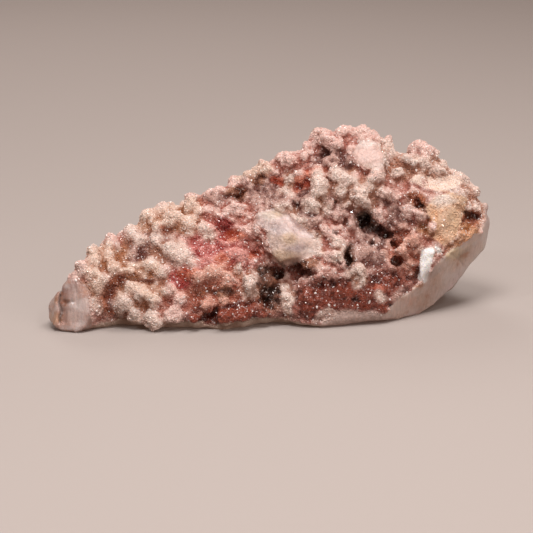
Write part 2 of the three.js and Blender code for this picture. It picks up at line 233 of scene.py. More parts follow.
# Open vugs, as they are seen: ([across, up], [half width, half height], how dark it is painted, as painted
# shade).
VUGS = [
    ((47, 56), (3, 4), 1), ((53, 51), (3, 2), 1), ((58, 47), (2, 1.2), 0.9),
    ((62, 43), (2, 1.5), 0.8), ((63, 34), (2.5, 2), 0.7), ((73, 27), (2, 3), 0.7),
    ((39, 37), (1.5, 5), 0.6), ((33, 49), (1.2, 1.2), 0.9), ((51, 43), (1.2, 1.2), 0.8),
    ((102, 57), (3, 1.5), 0.8), ((96, 62), (1, 1.5), 0.7), ((80, 76), (1.6, 0.8), 0.6),
    ((5, 28), (3, 1.6), 0.9), ((19, 28), (3.5, 1.4), 0.6), ((-3, 27), (2, 2.5), 0.5),
    ((0, 20), (1.6, 1), 0.8), ((-2, 15), (1.6, 1), 0.8), ((3, 15), (2, 1), 0.7),
    ((1, 11), (1.6, 1), 0.7), ((5, 19), (1, 1.5), 0.6), ((-3, 10), (1.2, 1), 0.5),
    ((-74, 22), (1.2, 2), 0.4), ((-55, 18), (1.2, 1), 0.5), ((-25, 19), (2.5, 0.8), 0.5),
    ((-8, 39), (2.5, 0.6), 0.4), ((35, 17), (1, 0.8), 0.9), ((43, 15), (1.2, 1), 0.9),
    ((38, 15), (0.8, 0.6), 0.9), ((60, 13), (0.8, 0.6), 0.9), ((31, 19), (0.8, 0.6), 0.9),
    ((35, 24), (0.8, 0.6), 0.8), ((40, 24), (0.8, 0.6), 0.8), ((34, 34), (1.2, 1), 0.7),
    ((24, 47), (0.8, 2), 0.6), ((33, 64), (1, 1), 0.6), ((38, 54), (1, 2), 0.7),
]
# Ridges of florets grown together: (kind of quartz, places along it, half width, height).
RIDGES = [
    ("cream", [(33, 78), (41, 74), (50, 62)], 4.5, 2.6), ("cream", [(25, 77), (25, 69)], 4, 2.6),
    ("cream", [(20, 63), (28, 61)], 3.5, 2.0), ("honey", [(-73, 31), (-58, 31)], 3.5, 2.0),
    ("honey", [(-71, 18), (-65, 20), (-57, 17)], 5.5, 2.0),
    ("cream", [(-57, 42), (-42, 39)], 3.5, 1.6), ("cream", [(-70, 12), (-62, 7), (-54, 7)], 7, 2.0),
    ("blush", [(-52, 12), (-46, 6)], 5, 1.4), ("honey", [(-89, 38), (-87, 20)], 3.5, 1.6),
    ("honey", [(-81, 41), (-78, 31)], 3.5, 2.0), ("honey", [(-38, 63), (-40, 52)], 5, 1.6),
    ("honey", [(-60, 57), (-52, 55)], 4, 1.4), ("cream", [(-34, 51), (-29, 47)], 3, 1.6),
    ("honey", [(-14, 79), (-3, 81)], 3.5, 1.5),
    ("cream", [(8, 61), (14, 55), (23, 47), (25, 39)], 2.5, 1.4),
    ("cream", [(9, 76), (9, 70)], 3, 1.6), ("cream", [(8, 20), (10, 14)], 2.5, 1.2),
    ("cream", [(-9, 27), (-11, 18)], 4, 1.4), ("peach", [(-34, 26), (-22, 29)], 5, 0.6),
    ("blush", [(55, 61), (56, 54)], 3, 2.0), ("cream", [(33, 45), (36, 41), (34, 36)], 2.5, 1.4),
    ("cream", [(46, 31), (44, 23)], 2.5, 1.2), ("blush", [(69, 60), (77, 56)], 3, 1.6),
    ("blush", [(81, 52), (86, 54)], 2.5, 1.2), ("blush", [(27, 51), (29, 45)], 2.5, 1.6),
    ("blush", [(71, 93), (79, 90)], 4, 1.0), ("cream", [(60, 84), (72, 83), (86, 80)], 3.5, 1.2),
]
# Cracks and creases, as they are seen: (places along it, half width, depth, how dark it is painted, as
# painted shade).
CRACKS = [
    ([(-105, 24), (-104.4, 19), (-105.2, 13), (-103.8, 9), (-105, 4)], 0.5, 1.6, 0.7),
    ([(-103, 14.5), (-101, 13.2), (-99.5, 14.6), (-98.5, 14)], 0.6, 0.8, 0.6),
    ([(-97, 22), (-96, 17), (-96.5, 12)], 0.5, 0.6, 0.5),
    ([(-72, 26), (-66, 25), (-58, 23.5)], 0.8, 1.2, 0.3),
    ([(72, 73), (78, 69.5), (85, 68.5), (92, 70)], 0.6, 1.0, 0.2),
    ([(93, 62), (99, 58), (104, 56.5)], 1.0, 1.6, 0.5),
    ([(91, 38), (96, 34), (98, 29)], 0.5, 0.6, 0.4),
    ([(-2, 31), (4, 30), (12, 30), (20, 29)], 1.0, 1.6, 0.4),
    ([(70, 61), (76, 62), (79, 59), (79, 55)], 0.9, 1.2, 0.3),
    ([(78, 49), (84, 47), (88, 44)], 0.9, 0.8, 0.2),
]


def face_tree(made):
    shape = bmesh.new()
    shape.from_mesh(made.data)
    bmesh.ops.remove_doubles(shape, verts=shape.verts, dist=WELD_DISTANCE)
    tree = BVHTree.FromBMesh(shape)
    shape.free()
    return tree


def resurfaced(made, name, voxel, rounds):
    """One even skin over everything in the object."""
    modify(made, "WELD", merge_threshold=WELD_DISTANCE)
    modify(made, "REMESH", mode="VOXEL", voxel_size=voxel * MM)
    modify(made, "SMOOTH", factor=0.5, iterations=rounds)
    return baked(made, name)


# The solid's knobs smoothed away: it tells front from back, and how far a knob stands out.
bulk = resurfaced(new_object("bulk", solid.data.copy()), "bulk", 3.0, 14)
print("bulk:", len(bulk.data.polygons), "faces")
solid_tree, bulk_tree = face_tree(solid), face_tree(bulk)
bpy.data.objects.remove(bulk, do_unlink=True)

# %% [markdown]
# The edges of all these places are stirred by noise, so that none is a clean oval or line. Ground faces
# keep clean edges, as the lap left them.


# %% Shares at the vertices
def oval(across, up, middle, half):
    return np.hypot((across - middle[0]) / half[0], (up - middle[1]) / half[1])


def to_line(across, up, line):
    """How far each place lies from a broken line, in millimetres."""
    far = np.full(len(across), np.inf)
    for (x0, y0), (x1, y1) in zip(line, line[1:]):
        dx, dy = x1 - x0, y1 - y0
        share = np.clip(((across - x0) * dx + (up - y0) * dy) / (dx**2 + dy**2), 0, 1)
        far = np.minimum(far, np.hypot(across - x0 - share * dx, up - y0 - share * dy))
    return far


def within(across, up, corners):
    inside = np.zeros(len(across), dtype=bool)
    for (x0, y0), (x1, y1) in zip(corners, corners[1:] + corners[:1]):
        if y0 != y1:
            edge = x0 + (x1 - x0) * (up - y0) / (y1 - y0)
            inside ^= ((y0 > up) != (y1 > up)) & (across < edge)
    return inside


def highest(shares):
    return np.max(list(shares), axis=0)


def raggedness(points):
    return wavy(points, 3.5, 6) * 0.3 + wavy(points, 8, 7) * 0.3


def stirring(points, length, amount):
    """How far beside itself, across and up, each place is looked up."""
    return wavy(points, length, 2) * amount, wavy(points, length, 3) * amount


def flat_shares(mesh, points, across, up):
    facing = np.array([solid_tree.find_nearest(p)[1] for p in points.tolist()])
    ragged = raggedness(points) * 0.5
    shares = {}
    for name, (way, match, corners) in FLAT_FACES.items():
        way = np.array(way) / np.linalg.norm(way)
        on_face = (facing @ way > match) & within(across, up, corners)
        soft = smoothed(mesh, on_face.astype(float), 6)
        shares[name] = ramp(soft, 0.4, 0.6) if name in LAPPED else ramp(soft + ragged, 0.3, 0.6)
    return shares


def worn_share(across, up):
    return highest(
        (1 - kept) * ramp(oval(across, up, middle, half), 1.15, 0.8) for middle, half, kept in WORN.values()
    )


def vug_shares(across, up):
    """How deep in a vug each place is, from 0 to 1, and how dark it is painted as painted shade."""
    depths = [ramp(oval(across, up, middle, half), 1.5, 0.7) for middle, half, _ in VUGS]
    return highest(depths), highest(depth * row[-1] for depth, row in zip(depths, VUGS))


def crack_depths(across, up):
    """How deep in a crack each place is, in millimetres, and how dark it is painted as painted shade."""
    shares = [ramp(to_line(across, up, line), half * 2, half * 0.5) for line, half, _, _ in CRACKS]
    depths = highest(share * row[2] for share, row in zip(shares, CRACKS))
    return depths, highest(share * row[3] for share, row in zip(shares, CRACKS))


def ridge_heights(across, up):
    return highest(
        ramp(to_line(across, up, line), half * 1.3, half * 0.2) * height for _, line, half, height in RIDGES
    )


def masks(mesh):
    """What each vertex belongs to, as shares from 0 to 1. Crack, ridge and rise are in millimetres."""
    points = coordinates(mesh)
    nearest = [bulk_tree.find_nearest(p) for p in points.tolist()]
    bulk_facing = smoothed(mesh, np.array([n[1] for n in nearest]), 4)
    across, up = seen(points)
    aside, above = stirring(points, 4, 2)
    found = flat_shares(mesh, points, across, up)
    broken = highest(share for name, share in found.items() if name not in LAPPED)
    sugared = highest(found[name] for name in SUGARED)
    flat = highest(share for name, share in found.items() if name not in SUGARED)
    front = ramp(bulk_facing @ CRUST_FACES + wavy(points, 18, 1) * 0.25, -0.15, 0.2)
    crust = front * ramp(bulk_facing[:, 2], -0.75, -0.35) * (1 - flat)
    worn = worn_share(across, up)
    vug, vug_dark = vug_shares(across + aside, up + above)
    crack, crack_dark = crack_depths(across + aside * 0.2, up + above * 0.2)
    vug = vug * front * (1 - broken)
    return found | {
        "crust": crust, "flat": flat, "broken": broken, "sugared": sugared, "worn": worn * front,
        "vug": vug, "floret": crust * (1 - worn) * (1 - sugared) * (1 - vug), "crack": crack * front,
        # Painted shade: how dark the vugs and cracks are painted.
        "dark": np.maximum(vug_dark * (1 - broken), crack_dark) * front,
        "ridge": ridge_heights(across + aside, up + above) * (1 + raggedness(points)) * front,
        "rise": np.array([(Vector(p) - n[0]).dot(n[1]) for p, n in zip(points.tolist(), nearest)]) / MM,
    }


# %% [markdown]
# ## The stone's skin
# Drusy quartz grows as florets: knobs on knobs, down to the single points. The solid has the big knobs.
# Its skin is smoothed a little, and then three generations of domes grow on it, each about half the
# size of the one before, with a new even skin after each. The real ones start from many seeds on the
# rind and meet in creases, which is what the cells of a Voronoi pattern do. Ridges and vugs come with
# the first generation, and cracks, which the stone got last, with the last one.


# %% The stone's skin
def domes(points, size, seed):
    """Domes about a size in millimetres across, 1 on top and 0 or less in the creases between them."""
    warp = np.stack([wavy(points, size * 1.3, seed + axis) for axis in range(3)], axis=1)
    scaled = points / (size * MM) + warp * 0.3 + seed * 3.7
    far = np.array([noise.voronoi(p)[0][0] for p in scaled.tolist()])
    return 1 - (far / 0.8) ** 1.6


def moved(made, offset):
    """Moves the vertices by an offset in millimetres."""
    made.data.vertices.foreach_set("co", (coordinates(made.data) + offset * MM).ravel())
    made.data.update()


# name of the share: rounds of smoothing
SOFTENED = {"floret": 12, "broken": 5, "worn": 50}
# name: (size of the domes, height, next voxel), in millimetres
GENERATIONS = {"masses": (12.0, 3.5, 0.85), "florets": (5.5, 2.4, 0.7), "nubs": (2.8, 1.8, 0.6)}
VUG_DEPTH = 3.5
# The crust is flatter towards the thin end: (share of the height there, [across] from, [across] to).
CALM_END = (0.7, -70, -10)

stone = resurfaced(new_object("stone", solid.data.copy()), "stone", 1.0, 3)
found = masks(stone.data)
for share, rounds in SOFTENED.items():
    points = coordinates(stone.data)
    moved(stone, (smoothed(stone.data, points, rounds) - points) / MM * found[share][:, None])

for seed, (name, (size, height, voxel)) in enumerate(GENERATIONS.items()):
    found = masks(stone.data)
    points = coordinates(stone.data)
    calm, start, end = CALM_END
    lively = calm + 0.3 * ramp(seen(points)[0], start, end)
    uneven = (0.8 + 0.8 * wavy(points, 14, 30 + seed)) * lively
    outward = (domes(points, size, seed) - 0.5) * height * uneven * found["floret"]
    if name == "masses":
        outward += (found["broken"] + found["tip"]) * wavy(points, 5, 40) * 0.6 - VUG_DEPTH * found["vug"]
        outward += found["ridge"] * (1 - found["broken"])
    if name == "florets":
        rind = (1 - found["crust"]) * (1 - found["flat"])
        outward += rind * (wavy(points, 8, 41) * 0.9 + wavy(points, 3, 42) * 0.4)
    if name == "nubs":
        outward -= found["crack"]
        outward += (found["tip"] + found["tip side"]) * wavy(points, 2.5, 43) * 0.3
    moved(stone, vertex_normals(stone.data) * outward[:, None])
    stone = resurfaced(stone, "stone", voxel, 1)
    print(name, len(stone.data.polygons), "faces")
kept_in_box(stone.data)

# %% [markdown]
# ## Colours
# The colour of this quartz is iron in the crust: cream on the florets' tips, pink to red in the crevices.
# The crevices are also painted darker than the tops, and what faces up lighter: painted shade and painted
# light. Each patch of the front has its own pair of colours, one for the tops and one for the crevices.
# They are painted one over the other in their order, each with a stirred edge, and then the ridges over
# them. Vugs and cracks are painted near black as painted shade, and so, in part, are the umber and sienna
# patches under lumps and along the foot. The flat faces have stains and veins of their own, and the bare
# rind is mottled.

# %% Colour patches
# kind of quartz: (colour of its tops, colour of its crevices). Each crevice colour is partly its real
# deeper colour and partly painted shade; shade is painted shade only.
QUARTZ = {
    "cream": ("#e2ccc2", "#ae7c66"),
    "honey": ("#e0c5b6", "#a66e4e"),
    "blush": ("#e2c1b8", "#ac6c5e"),
    "peach": ("#dcac9c", "#a45e4a"),
    "frost": ("#e0c8be", "#9e7468"),
    "mauve": ("#c29e94", "#72463e"),
    "rose": ("#da9c94", "#9e4640"),
    "crimson": ("#ca807a", "#983c38"),
    "coral": ("#d0846e", "#a2442e"),
    # Painted shade: sienna is the real red-brown of the low slope, made darker as painted shade along the
    # foot.
    "sienna in shade": ("#8a4230", "#50180e"),
    "amber": ("#d8a684", "#965c34"),
    # Painted shade: umber is a real brown made dark to stand for shade under lumps and below the block.
    "umber in shade": ("#a0705a", "#5c2c1a"),
    "shade": ("#886052", "#422418"),
    "rust": ("#aa684c", "#6e321e"),
}
# Where each kind lies, big places first: (kind, [across, up], [half width, half height]).
PLACES = [
    ("cream", (-66, 40), (30, 30)), ("blush", (-20, 62), (26, 18)), ("rose", (-28, 32), (22, 22)),
    ("blush", (14, 82), (26, 16)), ("mauve", (18, 66), (26, 14)), ("blush", (40, 98), (24, 10)),
    ("mauve", (52, 50), (24, 20)), ("blush", (34, 44), (10, 16)), ("sienna in shade", (38, 14), (36, 14)),
    ("sienna in shade", (60, 20), (14, 12)), ("peach", (-24, 16), (26, 10)), ("cream", (82, 80), (22, 12)),
    ("sienna in shade", (-20, 5), (26, 7)), ("cream", (102, 64), (10, 14)), ("peach", (68, 40), (10, 12)),
    ("umber in shade", (0, 20), (10, 12)), ("cream", (60, 86), (10, 10)), ("cream", (44, 70), (14, 8)),
    ("blush", (74, 68), (10, 8)), ("frost", (-58, 44), (12, 6)), ("frost", (-44, 37), (9, 6)),
    ("mauve", (-66, 38), (7, 4)), ("mauve", (-3, 70), (9, 6)), ("mauve", (30, 86), (9, 6)),
    ("mauve", (36, 82), (7, 6)), ("mauve", (74, 92), (6, 4)), ("mauve", (-26, 66), (6, 4)),
    ("honey", (-80, 36), (10, 6)), ("honey", (-65, 30), (11, 4)), ("honey", (-67, 15), (9, 6)),
    ("honey", (-46, 58), (10, 8)), ("honey", (-62, 54), (6, 4)), ("honey", (-8, 79), (8, 4)),
    ("honey", (96, 46), (8, 10)), ("cream", (-50, 40), (9, 4)), ("cream", (-85, 18), (5, 10)),
    ("cream", (-92, 22), (6, 3)), ("blush", (-80, 46), (8, 5)), ("blush", (-48, 12), (8, 7)),
    ("crimson", (-44, 25), (7, 4)), ("crimson", (-34, 40), (12, 4)), ("crimson", (-22, 53), (4, 5)),
    ("coral", (-40, 28), (5, 4)), ("coral", (-23, 35), (4, 3)), ("coral", (-17, 47), (6, 3)),
    ("coral", (-7, 38), (4, 1.5)), ("coral", (14, 73), (8, 4)), ("coral", (5, 74), (4, 3)),
    ("coral", (24, 78), (7, 3)), ("peach", (-28, 27), (10, 5)), ("cream", (-16, 29), (3, 5)),
    ("cream", (25, 70), (5, 8)), ("cream", (24, 63), (6, 3)), ("cream", (9, 73), (3, 4)),
    ("cream", (-10, 22), (5, 7)), ("cream", (9, 14), (3, 8)), ("cream", (6, 59), (8, 4)),
    ("cream", (18, 47), (8, 4)), ("cream", (45, 65), (7, 5)), ("cream", (38, 75), (7, 4)),
    ("cream", (44, 27), (5, 5)), ("mauve", (50, 36), (8, 5)), ("blush", (55, 57), (4, 5)),
    ("rust", (-79, 15), (6, 9)), ("umber in shade", (-75, 7), (4, 3)), ("mauve", (-79, 14), (3, 3)),
    ("rust", (-76, 26), (4, 5)), ("rust", (-62, 25), (7, 2)), ("rust", (-52, 50), (4, 2)),
    ("umber in shade", (-30, 6), (8, 4)), ("rust", (-28, 19), (9, 3)), ("umber in shade", (-6, 76), (7, 2)),
    ("umber in shade", (-16, 68), (6, 4)), ("umber in shade", (74, 62), (8, 3)), ("rust", (74, 66), (6, 3)),
    ("rust", (84, 47), (8, 2.5)), ("amber", (80, 54), (6, 6)), ("amber", (100, 50), (5, 8)),
    ("rust", (101, 56), (5, 4)), ("amber", (97, 43), (4, 4)), ("umber in shade", (17, 33), (9, 3)),
    ("shade", (-3, 27), (4, 5)), ("shade", (1, 17), (6, 6)), ("shade", (40, 37), (3, 8)),
    ("shade", (48, 55), (6, 5)), ("rust", (44, 88), (2.5, 2.5)), ("coral", (55, 21), (4, 1.5)),
    ("coral", (66, 9), (7, 3)), ("frost", (56, 16), (3, 4)), ("frost", (44, 6), (18, 3.5)),
    ("frost", (28, 7), (6, 4)), ("mauve", (66, 17), (5, 6)), ("sienna in shade", (-16, 8), (18, 7)),
    ("sienna in shade", (-38, 4), (12, 4)), ("peach", (-20, 16), (8, 3)), ("umber in shade", (-24, 19), (8, 2)),
]
# What lies where no patch does.
REST = "blush"
# name of the flat face: its colour
FLAT_COLOURS = {
    "tip": "#ae8a7e", "tip side": "#bc9482", "shoulder": "#d4bcb2", "rim": "#d4bcb2", "ear": "#d4bab2",
    "block top": "#e4d0cc", "block foot": "#d8c0b6", "crown face": "#d6b4aa", "agate": "#e6c2a6",
    # Painted highlight: the glint is pure white, partly the pale chalcedony and partly a flake catching the
    # light.
    "lip": "#f0d8ca", "glint": "#ffffff", "band": "#d0b6ae",
}
# Stains and veins in the flat faces: (colour, [across, up], [half width, half height], strength).
STAINS = [
    ("#8a4a20", (-101, 14), (3.2, 2), 0.9), ("#9c5c30", (-95, 15), (1, 2.5), 0.7),
    ("#8c5434", (-104, 9), (0.8, 5), 0.8), ("#7c4a38", (-103.5, 20), (0.8, 2.5), 0.8),
    ("#c89070", (-109, 14), (2.5, 3.5), 0.6), ("#d0aa8c", (-108, 6), (4, 3), 0.5),
    ("#a88c88", (-100, 22), (5, 5), 0.6), ("#d8a8a0", (-5, 56), (3, 2), 0.5),
    ("#ac9898", (5, 50), (4, 3), 0.6), ("#d4bc9c", (2, 58), (6, 2), 0.6),
    ("#d0b494", (10, 46), (4, 3), 0.7), ("#a08c90", (14, 41), (5, 2), 0.7),
    ("#c8ac90", (7, 37), (7, 3), 0.7), ("#eee2dc", (20, 40), (6, 0.8), 0.7),
    ("#c8843c", (95, 49), (2.5, 4), 0.4), ("#bca07c", (92, 38), (8, 4), 0.6),
    ("#7c4c20", (87.5, 37), (1.6, 2), 0.9), ("#8c7874", (84, 27), (5, 4), 0.6),
    ("#c4b4ae", (86, 17), (6, 4), 0.6), ("#8c6c58", (96, 37), (2.5, 1.5), 0.7),
    ("#9c7860", (76, 16), (4, 7), 0.5), ("#a8683c", (76, 22), (4, 1.2), 0.6),
    ("#c07c50", (52, 78), (8, 1), 0.3), ("#f0e2dc", (48, 93), (6, 2), 0.6),
    ("#d8b090", (84, 69), (8, 1.2), 0.7), ("#ecd8cc", (85, 65), (6, 3), 0.7),
    ("#d09870", (83, 49), (3, 3), 0.4), ("#e0c09c", (92, 54), (3, 6), 0.5),
    ("#f2e6de", (88, 65), (6, 2.5), 0.6), ("#dc9c64", (82, 56), (2.5, 6), 0.4),
    ("#d88c50", (86, 45), (4, 2), 0.3), ("#dcccc8", (-97, 9), (4, 11), 0.55),
    ("#ccb0a8", (-112, 12), (3, 8), 0.4), ("#c8926c", (-106, 24), (6, 2), 0.4),
    ("#d4c8cc", (90, 24), (7, 7), 0.5), ("#c8bcc0", (76, 6), (8, 4), 0.5),
    ("#e0d4cc", (104, 36), (5, 8), 0.5), ("#dcc8a8", (91, 39), (4, 4), 0.5),
    ("#c88a6c", (73, 14), (5, 2.5), 0.5), ("#eadcd4", (53, 82), (7, 2), 0.5),
    ("#ecdcd4", (58, 88), (1.5, 5), 0.5), ("#e2d4cc", (-2, 57), (6, 2), 0.6),
]
RIND = ("#dac4b6", "#b09080")
# Painted shade: the near black that vugs and cracks are painted.
HOLE_SHADE = "#240e06"
# The depth at which a crack is painted quite dark, as painted shade, in millimetres.
DARK_DEPTH = 1.6


# %% Tints
def plain(hex_colour, count):
    return np.tile(linear(hex_colour), (count, 1))


def blend(colour, other, share):
    return colour + (np.array(linear(other)) - colour) * share[:, None]


def tops_lit_and_shaded(mesh, points, normals, rise):
    """From 0 in a crevice to 1 on top: bulging places, places that stand out, and places that face up."""
    bulge = np.einsum("ij,ij->i", points - smoothed(mesh, points, 40), normals) / MM
    facing_up = smoothed(mesh, normals, 8)[:, 2]
    # Painted light and shade: colours run along this from crevice to top, so crevices and undersides are
    # painted darker and what faces up lighter.
    return ramp(bulge / 0.6 + rise / 4 + facing_up * 0.4 + wavy(points, 6, 8) * 0.4, -1.0, 0.9)


def crust_colour(points, across, up, top):
    aside, above = stirring(points, 6, 3)
    high, low = (plain(colour, len(points)) for colour in QUARTZ[REST])
    for kind, middle, half in PLACES:
        share = ramp(oval(across + aside, up + above, middle, half), 1.3, 0.6)
        high, low = blend(high, QUARTZ[kind][0], share), blend(low, QUARTZ[kind][1], share)
    for kind, line, half, _ in RIDGES:
        far = to_line(across + aside * 0.7, up + above * 0.7, line)
        share = ramp(far, half * 1.4, half * 0.5)
        high, low = blend(high, QUARTZ[kind][0], share), blend(low, QUARTZ[kind][1], share * 0.6)
    # Painted shade and light: each crevice colour is darker than its top colour, partly real red and partly
    # painted shade.
    return low + (high - low) * top[:, None]


def tints(mesh, found):
    """The colour at each vertex, and how far on top of the florets it is."""
    points, normals = coordinates(mesh), vertex_normals(mesh)
    across, up = seen(points)
    aside, above = stirring(points, 6, 3)
    top = tops_lit_and_shaded(mesh, points, normals, found["rise"])
    # Painted shade: vugs and cracks are blended towards near black.
    colour = blend(crust_colour(points, across, up, top), HOLE_SHADE, found["dark"] * 0.75)
    mottling = ramp(wavy(points, 9, 4) + 1.2 * wavy(points, 3.5, 5), -0.8, 0.8)
    rind = blend(plain(RIND[1], len(points)), RIND[0], mottling)
    colour = rind + (colour - rind) * ramp(found["crust"] + found["flat"], 0.15, 0.5)[:, None]
    for name, flat_colour in FLAT_COLOURS.items():
        colour = blend(colour, flat_colour, found[name])
    solid_share = np.maximum(found["flat"], found["sugared"])
    for stain, middle, half, strength in STAINS:
        share = ramp(oval(across + aside * 0.4, up + above * 0.4, middle, half), 1.4, 0.5)
        colour = blend(colour, stain, share * strength * solid_share)
    # Painted shade: the flat faces darken into their cracks.
    colour = blend(colour, HOLE_SHADE, ramp(found["crack"], 0, DARK_DEPTH) * found["dark"] * found["flat"])
    return np.concatenate([colour, np.ones((len(points), 1))], axis=1), top


# Fewer triangles than the voxels gave: each of these becomes two.
STONE_FACES = 95_000
# Of the sugar that the crust has, the agate and its lip miss this share.
SUGAR_MISSING = 0.85
found = masks(stone.data)
tint, top = tints(stone.data, found)
store(stone.data, "tint", tint)
for name in (*LAPPED, "broken", "crust"):
    store(stone.data, name, found[name])
store(stone.data, "hollow", (1 - top) * ramp(found["crust"], 0.3, 0.7))
store(stone.data, "sugar", found["crust"] * (1 - SUGAR_MISSING * found["sugared"]))
modify(stone, "DECIMATE", ratio=STONE_FACES / len(stone.data.polygons))
modify(stone, "TRIANGULATE")
stone = baked(stone, "pink_amethyst_stone")
print("stone:", len(stone.data.polygons), "triangles")
print("tops:", round(float(top.mean()), 2), "crust:", round(float(found["crust"].mean()), 2))

# %% [markdown]
# ## Materials
# Quartz has an index of refraction of 1.544 and passes light, so it glows a little from inside. The
# grains are so small that light would only leak out of their far side, so theirs is slight. All
# patterns lie on the object's own coordinates, with scales from real millimetres, over the tint that is
# stored at the vertices.

# %% Materials
QUARTZ_IOR = 1.544


def set_inputs(tree_, made, inputs):
    """Gives a node's inputs their values, or links them where the value is another node's socket."""
    for key, value in inputs.items():
        if isinstance(value, bpy.types.NodeSocket):
            tree_.links.new(value, made.inputs[key])
        else:
            made.inputs[key].default_value = value


def add(tree_, kind, inputs=None, **settings):
    made = tree_.nodes.new(kind)
    for key, value in settings.items():
        setattr(made, key, value)
    set_inputs(tree_, made, inputs or {})
    return made


def material(name):
    made = bpy.data.materials.new(name)
    made.use_nodes = True
    made.node_tree.nodes.clear()
    output = add(made.node_tree, "ShaderNodeOutputMaterial")
    shader = add(made.node_tree, "ShaderNodeBsdfPrincipled")
    made.node_tree.links.new(shader.outputs[0], output.inputs["Surface"])
    shader.inputs["IOR"].default_value = QUARTZ_IOR
    return made, made.node_tree, shader


def place(tree_, stretch=(1, 1, 1)):
    """Object coordinates in millimetres, stretched."""
    where = add(tree_, "ShaderNodeTexCoord").outputs["Object"]
    scale = tuple(s / MM for s in stretch)
    return add(tree_, "ShaderNodeVectorMath", {0: where, 1: scale}, operation="MULTIPLY").outputs[0]


def tint_of(tree_):
    return add(tree_, "ShaderNodeAttribute", attribute_name="tint").outputs["Color"]


def noise_of(tree_, scale, detail, roughness=0.6, stretch=(1, 1, 1)):
    """Noise with a number of waves in a millimetre."""
    return add(tree_, "ShaderNodeTexNoise", {
        "Vector": place(tree_, stretch), "Scale": scale, "Detail": detail, "Roughness": roughness,
    }).outputs[0]


def mapped(tree_, value, from_range, to_range):
    return add(tree_, "ShaderNodeMapRange", {
        "Value": value, "From Min": from_range[0], "From Max": from_range[1],
        "To Min": to_range[0], "To Max": to_range[1],
    }).outputs[0]


def varied(tree_, colour, factor, low, high):
    """A colour times a grey that follows a factor."""
    grey = mapped(tree_, factor, (0, 1), (low, high))
    return add(tree_, "ShaderNodeVectorMath", {0: colour, "Scale": grey}, operation="SCALE").outputs[0]


def mixed(tree_, factor, colour, hex_colour):
    return add(tree_, "ShaderNodeMix", {
        "Factor": factor, 6: colour, 7: (*linear(hex_colour), 1),
    }, data_type="RGBA").outputs[2]


def bumped(tree_, height, inputs):
    return add(tree_, "ShaderNodeBump", {"Height": height, **inputs}).outputs[0]


def grain_normal(tree_, size, amount):
    """Each cell of a druse faces its own way. Gives the normal, and a number by chance for each cell."""
    cells = add(tree_, "ShaderNodeTexVoronoi", {"Vector": place(tree_), "Scale": 1 / size})
    colour = cells.outputs["Color"]
    lean = add(tree_, "ShaderNodeVectorMath", {0: colour, 1: (0.5, 0.5, 0.5)}, operation="SUBTRACT")
    lean = add(tree_, "ShaderNodeVectorMath", {0: lean.outputs[0], "Scale": amount}, operation="SCALE")
    normal = add(tree_, "ShaderNodeNewGeometry").outputs["Normal"]
    leaned = add(tree_, "ShaderNodeVectorMath", {0: normal, 1: lean.outputs[0]}, operation="ADD")
    normal = add(tree_, "ShaderNodeVectorMath", {0: leaned.outputs[0]}, operation="NORMALIZE").outputs[0]
    return normal, add(tree_, "ShaderNodeSeparateColor", {0: colour}).outputs[0]


# %% Crust materials
# Drusy quartz between the points: fine sugary grains, 0.9 mm across.
druse, t, shader = material("drusy quartz")
normal, value = grain_normal(t, 0.9, 0.9)
set_inputs(t, shader, {
    "Base Color": varied(t, tint_of(t), value, 0.8, 1.1), "Normal": normal, "Roughness": 0.3,
    "Subsurface Weight": 0.25, "Subsurface Radius": (0.0016, 0.0008, 0.0006), "Subsurface Scale": 1.0,
})

# Quartz points: most are satiny and about one in six glitters. About one in thirty is painted near white as
# a painted glint, seen from every side.
points_material, t, shader = material("quartz points")
chance = add(t, "ShaderNodeAttribute", attribute_name="chance").outputs["Fac"]
# Painted highlight: this share paints a point near white, a painted glint rather than clear quartz.
clear = mapped(t, chance, (0.96, 0.975), (0, 0.85))
tinted = varied(t, tint_of(t), chance, 0.92, 1.08)
set_inputs(t, shader, {
    "Base Color": mixed(t, clear, tinted, "#f6f0ee"),
    "Roughness": mapped(t, chance, (0.8, 0.85), (0.28, 0.06)),
    "Subsurface Weight": 0.1, "Subsurface Radius": (0.0008, 0.0006, 0.0005), "Subsurface Scale": 1.0,
})

# %% Chalcedony materials
# Ground chalcedony: lapped, with fine upright bands, a little grain, milky clouds and rust.
ground, t, shader = material("ground chalcedony")
bands = noise_of(t, 1.0, 3.0, stretch=(1.1, 0.5, 0.12))
cloud = noise_of(t, 0.12, 4.0)
grain = noise_of(t, 0.9, 4.0, 0.7, stretch=(1, 1, 0.6))
base = varied(t, varied(t, tint_of(t), bands, 0.66, 1.32), grain, 0.84, 1.16)
milky = mixed(t, mapped(t, cloud, (0.5, 0.36), (0, 0.6)), base, "#d8ccca")
set_inputs(t, shader, {
    "Base Color": mixed(t, mapped(t, cloud, (0.58, 0.72), (0, 0.6)), milky, "#a8683c"),
    "Normal": bumped(t, grain, {"Strength": 0.5, "Distance": 0.0008}), "Roughness": 0.35,
    "Coat Weight": 0.3, "Coat Roughness": 0.15,
    "Subsurface Weight": 0.3, "Subsurface Radius": (0.003, 0.002, 0.0015), "Subsurface Scale": 1.0,
})

# Broken chalcedony: pale, waxy and rough, with a sugary grain 1 mm across.
broken, t, shader = material("broken chalcedony")
cloud = noise_of(t, 0.3, 6.0, 0.7)
normal, value = grain_normal(t, 1.0, 0.35)
set_inputs(t, shader, {
    "Base Color": varied(t, varied(t, tint_of(t), cloud, 0.6, 1.35), value, 0.9, 1.08),
    "Normal": bumped(t, cloud, {"Normal": normal, "Strength": 0.7, "Distance": 0.002}),
    "Roughness": 0.35, "Coat Weight": 0.3, "Coat Roughness": 0.2,
    "Subsurface Weight": 0.3, "Subsurface Radius": (0.003, 0.0025, 0.002), "Subsurface Scale": 1.0,
})

